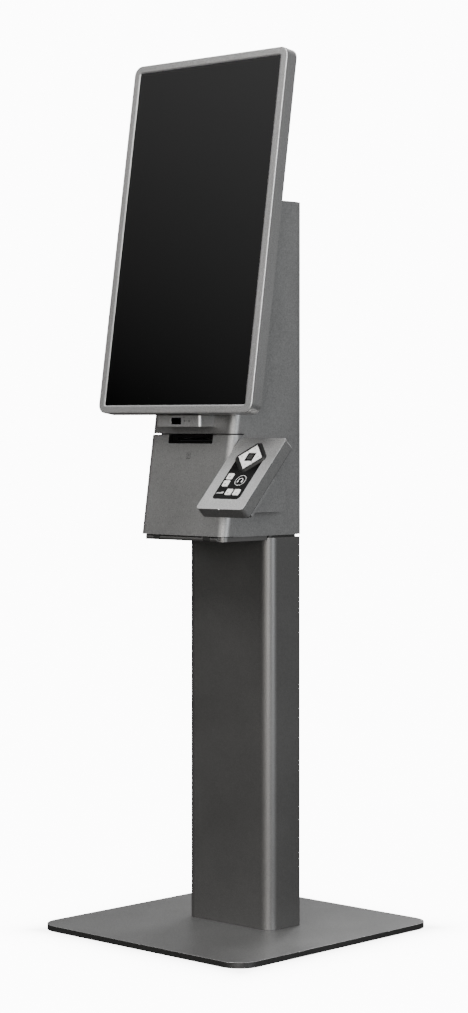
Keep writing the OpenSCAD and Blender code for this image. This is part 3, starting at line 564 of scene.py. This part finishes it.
# Ring with a rounded outline: a closed (inset, level) profile is carried round
def addRing(name, place, size, radii, profile, look, steps=8, **owner):
    insets, levels = np.asarray(profile).T
    x, y = roundedRings(size[0], size[1], radii, insets, steps)
    points = place(x, y, levels[:, None])
    return addPiece(name, points, gridFaces(*x.shape, True, True), look, **owner)


# Slab profile from low to high with turned edges, and a flat centre left to the caps
def slabProfile(low, high, topEdge, lowEdge=0.2 * mm, rim=1.0 * mm):
    reach = rim + topEdge
    points = [(reach, low), (0, low), (0, high), (reach, high)]
    return turnedProfile(points, [0, lowEdge, topEdge, 0])


# Gives the faces that the choose function picks a further finish
def paintFaces(piece, look, choose):
    piece.data.materials.append(finishes[look])
    added = len(piece.data.materials) - 1
    for face in piece.data.polygons:
        if choose(face):
            face.material_index = added


# Copy of a CAD piece with its edges turned: planar triangles are joined, the edges that the
# choose function picks get a bold radius, and a Bevel modifier turns the rest. A piece pierced by
# many openings keeps its triangles and edges, because a joined face with holes would fold.
# Weighted normals keep the flats looking flat
def softCopy(node, look, width=0.3 * mm, bold=None, boldWidth=1 * mm, segments=2, joined=True):
    source = frame["nodes"][node]
    mesh = source.data.copy()
    mesh.name = node + ".soft"
    tidy = bmesh.new()
    tidy.from_mesh(mesh)
    bmesh.ops.remove_doubles(tidy, verts=tidy.verts, dist=2e-6)
    if joined:
        flat = math.radians(0.6)
        bmesh.ops.dissolve_limit(tidy, angle_limit=flat, verts=tidy.verts, edges=tidy.edges)
    if bold:
        folded = [edge for edge in tidy.edges if edge.is_manifold and edge.calc_face_angle(0) > 0.6]
        chosen = [edge for edge in folded if bold(edge)]
        bmesh.ops.bevel(
            tidy, geom=chosen, offset=boldWidth, segments=4, profile=0.5, affect="EDGES",
            clamp_overlap=True)
    tidy.to_mesh(mesh)
    tidy.free()
    mesh.materials.clear()
    mesh.materials.append(finishes[look])
    mesh.polygons.foreach_set("material_index", np.zeros(len(mesh.polygons), np.int32))
    mesh.shade_smooth()
    mesh.set_sharp_from_angle(angle=math.radians(35))
    piece = bpy.data.objects.new(node + ".soft", mesh)
    bpy.context.scene.collection.objects.link(piece)
    if width:
        bevel = piece.modifiers.new("edges", "BEVEL")
        bevel.width = width
        bevel.segments = segments
        bevel.limit_method = "ANGLE"
        bevel.angle_limit = math.radians(35)
        bevel.harden_normals = True
        bevel.miter_outer = "MITER_ARC"
    even = piece.modifiers.new("evenShading", "WEIGHTED_NORMAL")
    even.weight = 90
    even.keep_sharp = True
    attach(piece, nodeBody[node])
    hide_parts(node)
    return piece


plateLook = {"edge": 1.1 * mm}


# Picks the edges at the rim of the base plate's upper face
def plateTopEdge(edge):
    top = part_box("base_plate")[1][2]
    return all(vertex.co.z > top - 1e-5 for vertex in edge.verts)


plate = softCopy("base_plate", "base_metal", 0.4 * mm, plateTopEdge, plateLook["edge"])
# Painted shade on the plate's rim faces, and a painted highlight on the turned edge round its top
paintFaces(plate, "base_side", lambda face: abs(face.normal.z) < 0.3)
paintFaces(plate, "bright_edge", lambda face: 0.3 < face.normal.z < 0.95)
softCopy("column_tube", "column_metal", 0.35 * mm)
print("base and column done")


sheetPieces = {
    "head_shell": ("head_metal", 0.35),
    "printer_door": ("head_metal", 0.45),
    "rear_door": ("head_metal", 0.5),
    "top_cover": ("head_metal", 0.4),
    "bottom_tray": ("column_metal", 0.4),
    "keypad_bracket": ("head_metal", 0.9),
    "screen_arm": ("bare_steel", 0.5),
    "screen_back": ("black_plastic", 0.5),
    # receipt bezel in black plastic with painted shade, so its slot stays dark
    "receipt_bezel": ("slot_black", 0.3),
    "neck_plate": ("black_plastic", 0.3),
    "keypad_back": ("black_plastic", 0.4),
    "inlet_panel": ("black_plastic", 0.4),
    "rear_sockets": ("black_plastic", 0.15),
    "spine_frame": ("zinc", 0.3),
    "printer_shelf": ("zinc", 0.3),
    "computer_case": ("bare_steel", 0.3),
    "power_supply": ("zinc", 0.3),
    "printer_body": ("black_plastic", 0.6),
    "printer_lid": ("black_plastic", 0.4),
    "door_magnets": ("black_plastic", 0.4),
    "head_floor": ("bare_steel", 0.3),
    "lock_barrel": ("zinc", 0.3),
    "lock_plug": ("zinc", 0.2),
    "lock_cam": ("zinc", 0.2),
    "rear_hinges": ("zinc", 0.15),
    "rear_door_leaves": ("zinc", 0.15),
    "base_pads": ("rubber", 0.3),
    "cable_grommet": ("rubber", 0.3),
}
piercedPieces = ["head_shell", "rear_door", "inlet_panel", "power_supply"]
for sheetNode, (sheetLook, sheetEdge) in sheetPieces.items():
    whole = sheetNode not in piercedPieces
    sheetPiece = softCopy(sheetNode, sheetLook, sheetEdge * mm if whole else 0, joined=whole)
    # Painted shade: the door's foot round its hinge gets black plastic, so it shows as the dark line
    # under the door
    if sheetNode == "printer_door":
        paintFaces(sheetPiece, "black_plastic", lambda face: face.center.z < doorPivot[2] + 5 * mm)
print("sheet metal done:", len(sheetPieces))

plainPieces = {
    "foot_plate": "bare_steel", "column_cap_plate": "bare_steel", "column_bolts": "zinc",
    "rear_hinge_pins": "zinc", "screen_panel": "zinc", "screen_screws": "zinc", "arm_bolts": "zinc",
    "scan_engine": "black_plastic", "door_hinge_pins": "zinc", "paper_roll": "paper",
    "platen_roller": "rubber", "keypad_board": "board", "bracket_bolts": "zinc",
}
for plainNode, plainLook in plainPieces.items():
    plainMesh = frame["nodes"][plainNode].data
    plainMesh.materials.clear()
    plainMesh.materials.append(finishes[plainLook])


screen = {
    "glass": (338 * mm, 598 * mm),
    "side": 15.5 * mm,
    "end": 13.8 * mm,
    "deep": 25 * mm,
    "corner": 17 * mm,
    "reach": 51 * mm,        # glass in front of the head
    "rise": 219.3 * mm,      # foot of the glass along the head's front
    "proud": 1.0 * mm,
    "chamfer": 2.2 * mm,     # bevel beside the glass, with a painted highlight
    "glassDeep": 3 * mm,
}
screen["middle"] = screen["rise"] + screen["glass"][1] / 2


def onScreen(x, y, level):
    return onHead(x, -screen["reach"] - level, screen["middle"] + y)


# Frame section as (inset, level), level 0 at the glass and positive to the front
def makeScreen(settings):
    width = settings["glass"][0] + 2 * settings["side"]
    height = settings["glass"][1] + 2 * settings["end"]
    front, back = settings["proud"], settings["proud"] - settings["deep"]
    bar = settings["end"]
    bevel = settings["chamfer"]
    section = [
        (0, back), (0, front), (bar - bevel, front), (bar, 0.1 * mm), (bar, -3.6 * mm),
        (4 * mm, -3.6 * mm), (4 * mm, back),
    ]
    radii = [0.5 * mm, 1.4 * mm, 0.25 * mm, 0.15 * mm, 0.1 * mm, 0.3 * mm, 0.3 * mm]
    profile = turnedProfile(section, radii, 4, closed=True)
    insets, levels = profile.T
    x, y = roundedRings(width, height, settings["corner"], insets, 12)
    spread = np.clip(insets / bar, 0, 1)[:, None] * (settings["side"] - bar)
    x = x - np.sign(x) * spread
    points = onScreen(x, y, levels[:, None])
    faces = gridFaces(*x.shape, True, True)
    surround = addPiece("screen_frame.bar", points, faces, "frame_metal", replaced=["screen_frame"])
    ahead = onHead(0, -1, 0) - onHead(0, 0, 0)
    # Painted shade on the frame's faces that do not face the front, and a painted highlight on its
    # bevel beside the glass
    paintFaces(surround, "frame_side", lambda face: np.dot(face.normal, ahead) < 0.35)
    paintFaces(surround, "bright_edge", lambda face: 0.35 < np.dot(face.normal, ahead) < 0.85)
    pane = slabProfile(-settings["glassDeep"], 0, 0.15 * mm, 0.1 * mm)
    play = 0.4 * mm
    size = (settings["glass"][0] - play, settings["glass"][1] - play)
    owner = {"replaced": ["cover_glass"]}
    addSlab("cover_glass.pane", onScreen, size, 0.6 * mm, pane, "screen_glass", **owner)


makeScreen(screen)
print("screen done")


scanner = {
    "edge": 0.8 * mm,
    "iconAt": (17 * mm, 28 * mm),
    "icon": 3.4 * mm,
    "line": 0.35 * mm,
    "pitch": 0.9 * mm,       # between the bars of the first mark
}
scanLow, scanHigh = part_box("scanner_housing")


# Picks the edges round the lower and upper face of the housing, ahead of the head
def scannerEdges(edge):
    heights = [vertex.co.z for vertex in edge.verts]
    low = max(heights) < scanLow[2] + 1e-5
    high = min(heights) > scanHigh[2] - 1e-5
    return low or high


housing = softCopy("scanner_housing", "frame_metal", 0.25 * mm, scannerEdges, scanner["edge"])
# Painted shade on the housing's right end
paintFaces(housing, "pad_side", lambda face: face.normal.x > 0.9)
windowLow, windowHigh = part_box("scanner_window")


def makeWindow():
    centre = (windowLow + windowHigh) / 2
    size = (windowHigh[0] - windowLow[0], windowHigh[2] - windowLow[2])
    deep = windowHigh[1] - windowLow[1]

    def place(x, y, level):
        return upright(centre[0] + x, centre[1] - level, centre[2] + y)

    profile = slabProfile(-deep / 2, deep / 2, 0.2 * mm)
    owner = {"replaced": ["scanner_window"]}
    addSlab("scanner_window.pane", place, size, 1.2 * mm, profile, "screen_glass", **owner)


makeWindow()


# Finish and slot of each printing ink, and how thick it lies
inks = {"dark": ("ink_dark", "black_plastic"), "light": ("ink_light", "key_white")}
inkThick = 0.12 * mm


# Band of the given width along a path in the plane, w/2 to each side of it, as a thin plate:
# edge points are p + normal * (+-w/2), and the path's ends are closed or joined
def addBand(name, place, path, width, ink="dark", body="kiosk", closed=False):
    look, slot = inks[ink]
    path = np.asarray(path, float)
    if closed:
        ahead, behind = np.roll(path, -1, 0), np.roll(path, 1, 0)
    else:
        ahead = np.vstack([path[1:], path[-1:] * 2 - path[-2:-1]])
        behind = np.vstack([path[:1] * 2 - path[1:2], path[:-1]])
    along = ahead - behind
    along = along / np.linalg.norm(along, axis=1)[:, None]
    normal = np.stack([-along[:, 1], along[:, 0]], axis=-1) * width / 2
    right, left = path - normal, path + normal
    sides = [(right, 0), (left, 0), (left, inkThick), (right, inkThick)]
    edges = [np.column_stack([edge, np.full(len(path), level)]) for edge, level in sides]
    rows = np.stack(edges, axis=1)
    points = place(rows[..., 0], rows[..., 1], rows[..., 2])
    faces = gridFaces(len(path), 4, True, closed)
    if not closed:
        faces += [[0, 1, 2, 3], [4 * len(path) - 1 - k for k in range(4)]]
    return addPiece(name, points, faces, look, body=body, slot=slot, sharp=30)


def arc(centre, radius, start, end, steps=24):
    a = np.radians(np.linspace(start, end, steps + 1))
    return np.stack([centre[0] + radius * np.cos(a), centre[1] + radius * np.sin(a)], axis=-1)


# Outline of a small receipt with a torn foot, and three lines on it
receiptMark = {"centre": (0, 138.5 * mm), "size": (7.5 * mm, 10.5 * mm), "line": 0.7 * mm}


def makeReceiptMark(settings):
    x0, y0 = settings["centre"]
    w, h = settings["size"]

    def place(x, y, level):
        return onHead(x, -1.0 * mm - level, y)

    teeth = np.linspace(-w / 2, w / 2, 7)
    foot = np.column_stack([x0 + teeth, y0 - h / 2 + (np.arange(7) % 2) * 1.2 * mm])
    outline = np.vstack([foot, [(x0 + w / 2, y0 + h / 2), (x0 - w / 2, y0 + h / 2)]])
    pen = {"width": settings["line"], "body": "printer_door"}
    addBand("receipt_mark.outline", place, outline, closed=True, **pen)
    for row, share in enumerate((0.5, 0.5, 0.28)):
        y = y0 + h / 2 - (2.4 + 2.4 * row) * mm
        line = [(x0 - w * 0.28, y), (x0 - w * 0.28 + w * share * 1.12, y)]
        addBand(f"receipt_mark.line{row}", place, line, **pen)


makeReceiptMark(receiptMark)


# Two small marks beside the scanner's window: three bars in a square, and a ring in a square
def makeScanMarks(settings):
    middle = (windowLow[2] + windowHigh[2]) / 2
    side = settings["icon"]

    def place(x, y, level):
        return upright(x, scanLow[1] - level, middle + y)

    for k, x in enumerate(settings["iconAt"]):
        box = np.array([(-side, -side), (side, -side), (side, side), (-side, side)]) / 2 + (x, 0)
        addBand(f"scan_mark.box{k}", place, box, settings["line"], closed=True)
        if k == 0:
            for step in (-1, 0, 1):
                barX = x + step * settings["pitch"]
                bar = [(barX, -side * 0.28), (barX, side * 0.28)]
                addBand(f"scan_mark.bar{step + 1}", place, bar, settings["line"])
        else:
            ring = arc((x, 0), side * 0.24, 0, 345)
            addBand("scan_mark.ring", place, ring, settings["line"], closed=True)


makeScanMarks(scanner)
print("scanner and marks done")


keypad = {
    "middle": pad["width"] / 2,
    "arrows": 114.5 * mm,    # centre of the arrow keys up the face
    "edge": 1.3 * mm,
    "rim": 53.6 * mm,
    "rimInner": 39 * mm,
    "rimCorner": 9 * mm,
    "rimHigh": 3 * mm,
    "rimFoot": -1.1 * mm,
    "rimBand": 2.4 * mm,     # how near an edge must be to the outline to be turned
    "reach": 26.6 * mm,
    "inner": 9.4 * mm,
    "slit": 0.55 * mm,
    "arrowHigh": 3.2 * mm,
    "arrowLow": -2.7 * mm,
    "tip": [(-2.2 * mm, 17.0 * mm), (2.2 * mm, 17.0 * mm), (0, 19.8 * mm)],
    "tipLine": 0.5 * mm,
    "square": 13 * mm,
    "squareHigh": 1.5 * mm,
    "squareLow": -4.0 * mm,
    "ring": 11.5 * mm,
    "jack": (62.4 * mm, 63.8 * mm),
}


def keypadLocal(point):
    c, q = math.cos(pad["angle"]), math.sin(pad["angle"])
    y, z = point[1] - pad["y"], point[2] - pad["z"]
    return point[0] - pad["x"], y * c + z * q, z * c - y * q


# Picks the outer edges of the keypad's face
def keypadEdges(edge):
    for vertex in edge.verts:
        x, s, n = keypadLocal(vertex.co)
        halfWide, halfLong = pad["width"] / 2, pad["length"] / 2
        rim = max(abs(x - halfWide) - halfWide, abs(s - halfLong) - halfLong)
        if n < -1e-5 or rim < -keypad["rimBand"]:
            return False
    return True


shell = softCopy("keypad_shell", "silver_metal", 0.2 * mm, keypadEdges, keypad["edge"])
# Painted shade on the shell's sides and ends below its face, and a painted highlight on the turned edge
# round the face
paintFaces(shell, "pad_side", lambda face: keypadLocal(face.center)[2] < -1.5 * keypad["edge"])
paintFaces(
    shell, "bright_edge",
    lambda face: -keypad["edge"] < keypadLocal(face.center)[2] < -0.05 * mm)
softCopy("keypad_overlay", "gloss_black", 0.08 * mm)


# Turns keypad coordinates by an angle about the centre of the arrow keys
def aboutArrows(turn, lift=0.0):
    c, q = math.cos(math.radians(turn)), math.sin(math.radians(turn))

    def place(x, y, level):
        across, up = x * c - y * q, x * q + y * c
        return onKeypad(keypad["middle"] + across, keypad["arrows"] + up, level + lift)

    return place


# Raised diamond rim: a rounded square on its corner, its section a low wall with turned edges
def makeRim(settings):
    wide = (settings["rim"] - settings["rimInner"]) / 2
    high = settings["rimHigh"]
    foot = settings["rimFoot"]
    section = [
        (0, foot), (0, 0.3 * mm), (3.6 * mm, high), (wide - 0.9 * mm, high),
        (wide, high * 0.6), (wide, foot),
    ]
    radii = [0.1 * mm, 0.3 * mm, 0.8 * mm, 0.5 * mm, 0.3 * mm, 0.1 * mm]
    profile = turnedProfile(section, radii, 3, closed=True)
    size = (settings["rim"], settings["rim"])
    owner = {"replaced": ["arrow_rim"], "steps": 10}
    corner = settings["rimCorner"]
    addRing("arrow_rim.wall", aboutArrows(45), size, corner, profile, "rim_plastic", **owner)


makeRim(keypad)


# Arrow key: a pentagon between the two diagonals and the outer diamond, its edge drawn in by an
# inset i along each side's inward normal, which moves a corner by i / sin(half its angle)
def makeArrow(name, turn, settings):
    reach, inner, slit = settings["reach"], settings["inner"], settings["slit"]
    wing, wingUp = (reach - slit) / 2, (reach + slit) / 2
    corners = np.array([
        (slit - inner, inner), (inner - slit, inner), (wing, wingUp), (0, reach), (-wing, wingUp)])
    edges = np.roll(corners, -1, 0) - corners
    edges = edges / np.linalg.norm(edges, axis=1)[:, None]
    inward = np.stack([-edges[:, 1], edges[:, 0]], axis=-1)
    before = np.roll(inward, 1, 0)
    shift = (inward + before) / (1 + np.sum(inward * before, axis=1))[:, None]
    low, high = settings["arrowLow"], settings["arrowHigh"]
    side = [(1 * mm, low), (0, low), (0, high), (1.6 * mm, high)]
    profile = turnedProfile(side, [0, 0.2 * mm, 0.7 * mm, 0], 4)
    insets, levels = profile.T
    rows = corners[None] + shift[None] * insets[:, None, None]
    crown = levels[:, None] + np.zeros(5)
    points = aboutArrows(turn)(rows[..., 0], rows[..., 1], crown)
    caps = [list(range(5)), list(range(5 * (len(insets) - 1), 5 * len(insets)))]
    faces = gridFaces(len(insets), 5) + caps
    addPiece(name + ".cap", points, faces, "key_white", replaced=[name], sharp=40)
    top = aboutArrows(turn, high)
    addBand(name + ".mark", top, settings["tip"], settings["tipLine"], body=name, closed=True)


arrowTurns = {"arrow_up": 0, "arrow_left": 90, "arrow_down": 180, "arrow_right": -90}
for arrowName, arrowTurn in arrowTurns.items():
    makeArrow(arrowName, arrowTurn, keypad)

selectKey = {
    "side": 17.5 * mm,
    "corner": 1.2 * mm,
    "low": -2.7 * mm,
    "high": 2.6 * mm,
    "edge": 0.9 * mm,
    "pad": 11.5 * mm,
    "padCorner": 1 * mm,
    "padThick": 0.15 * mm,
}


# Middle key with a grey square printed on it
def makeSelectKey(settings):
    cap = slabProfile(settings["low"], settings["high"], settings["edge"])
    size = (settings["side"], settings["side"])
    owner = {"replaced": ["select_key"]}
    addSlab("select_key.cap", aboutArrows(0), size, settings["corner"], cap, "gloss_black", **owner)
    top = aboutArrows(0, settings["high"])
    square = slabProfile(0, settings["padThick"], 0.1 * mm, 0.02 * mm)
    size = (settings["pad"], settings["pad"])
    owner = {"body": "select_key", "slot": "black_plastic"}
    addSlab("select_key.pad", top, size, settings["padCorner"], square, "pad_grey", **owner)


makeSelectKey(selectKey)


# Place on the face about a key's centre
def aboutKey(centre, lift=0.0):
    def place(x, y, level):
        return onKeypad(centre[0] + x, centre[1] + y, level + lift)

    return place


squareKeys = {
    "volume_down": (34.2 * mm, 56.3 * mm),
    "volume_up": (34.2 * mm, 71.9 * mm),
    "back_key": (53.0 * mm, 37.4 * mm),
    "next_key": (70.6 * mm, 37.4 * mm),
}


keyMark = {
    "scale": 0.75 * mm,
    "line": 0.55 * mm,
    "down": 2 * mm,          # below the key's centre
    "speaker": [(-3.2, -0.9), (-2.0, -0.9), (-0.4, -2.3), (-0.4, 2.3), (-2.0, 0.9), (-3.2, 0.9)],
    "mouth": (-0.4, 0),      # where the waves start
    "waves": [(1.9, 40), (3.4, 42)],   # radius, and degrees to each side
    "shaft": 2.6,
    "head": (0.6, 2),
}


# Loudspeaker outline with one or two waves, or an arrow, as (path, closed) pairs
def keyMarks(kind, settings):
    if kind.startswith("volume"):
        count = 2 if kind == "volume_up" else 1
        waves = [
            (arc(settings["mouth"], radius, -half, half, 8), False)
            for radius, half in settings["waves"][:count]
        ]
        return [(settings["speaker"], True)] + waves
    side = -1 if kind == "back_key" else 1
    tip = settings["shaft"] * side
    headX, headY = settings["head"]
    head = [(headX * side, headY), (tip, 0), (headX * side, -headY)]
    return [([(-tip, 0), (tip, 0)], False), (head, False)]


def makeSquareKey(name, centre, settings):
    profile = slabProfile(settings["squareLow"], settings["squareHigh"], 0.7 * mm)
    size = (settings["square"], settings["square"])
    addSlab(name + ".cap", aboutKey(centre), size, 2 * mm, profile, "key_white", replaced=[name])
    place = aboutKey((centre[0], centre[1] - keyMark["down"]), settings["squareHigh"])
    for index, (path, closed) in enumerate(keyMarks(name, keyMark)):
        path = np.asarray(path) * keyMark["scale"]
        addBand(f"{name}.mark{index}", place, path, keyMark["line"], body=name, closed=closed)


for keyName, keyCentre in squareKeys.items():
    makeSquareKey(keyName, keyCentre, keypad)


socket = {
    "top": 0.4 * mm,
    "deep": -6 * mm,
    "outer": 8.2 * mm,
    "bore": 1.8 * mm,
    "printed": 0.2 * mm,     # height of what is printed on the overlay
    "ringLine": 0.7 * mm,
    "band": {"centre": (0, -0.6 * mm), "radius": 5.2 * mm, "line": 1.1 * mm},
    "ear": {"out": 4.6 * mm, "low": -4.4 * mm, "high": -0.4 * mm, "line": 2.4 * mm},
}


# Socket in the middle of a thin ring, with a headphone drawn round its hole
def makeSocket(settings, centre, ring):
    top, deep, outer = settings["top"], settings["deep"], settings["outer"]
    wall = outer - settings["bore"]
    section = [(0, deep), (0, top), (wall, top), (wall, deep)]
    profile = turnedProfile(section, [0.1 * mm, 0.3 * mm, 0.4 * mm, 0.1 * mm], 3, closed=True)
    size = (2 * outer, 2 * outer)
    owner = {"replaced": ["audio_socket"], "steps": 12}
    corner = outer - 0.01 * mm
    addRing("audio_socket.boss", aboutKey(centre), size, corner, profile, "gloss_black", **owner)
    circle = arc((0, 0), ring - 0.6 * mm, 0, 360, 64)[:-1]
    printed = aboutKey(centre, settings["printed"])
    addBand("audio_ring.line", printed, circle, settings["ringLine"], "light", closed=True)
    place = aboutKey(centre, top)
    band, ear = settings["band"], settings["ear"]
    over = arc(band["centre"], band["radius"], 5, 175, 24)
    addBand("audio_mark.band", place, over, band["line"], "light")
    for side in (-1, 1):
        cup = [(side * ear["out"], ear["low"]), (side * ear["out"], ear["high"])]
        addBand(f"audio_mark.ear{side + 1}", place, cup, ear["line"], "light")


makeSocket(socket, keypad["jack"], keypad["ring"])

# Row of short bars beside the lower keys, growing to the right
volumeBars = {
    "start": 27 * mm,
    "pitch": 2.5 * mm,
    "count": 6,
    "foot": 34.2 * mm,
    "high": 1.6 * mm,
    "grow": 0.45 * mm,
    "wide": 1.3 * mm,
}
barPlace = aboutKey((0, 0), socket["printed"])
for barIndex in range(volumeBars["count"]):
    barX = volumeBars["start"] + barIndex * volumeBars["pitch"]
    barTop = volumeBars["foot"] + volumeBars["high"] + volumeBars["grow"] * barIndex
    barPath = [(barX, volumeBars["foot"]), (barX, barTop)]
    addBand(f"volume_bar{barIndex}", barPlace, barPath, volumeBars["wide"], "light")
print("keypad done")
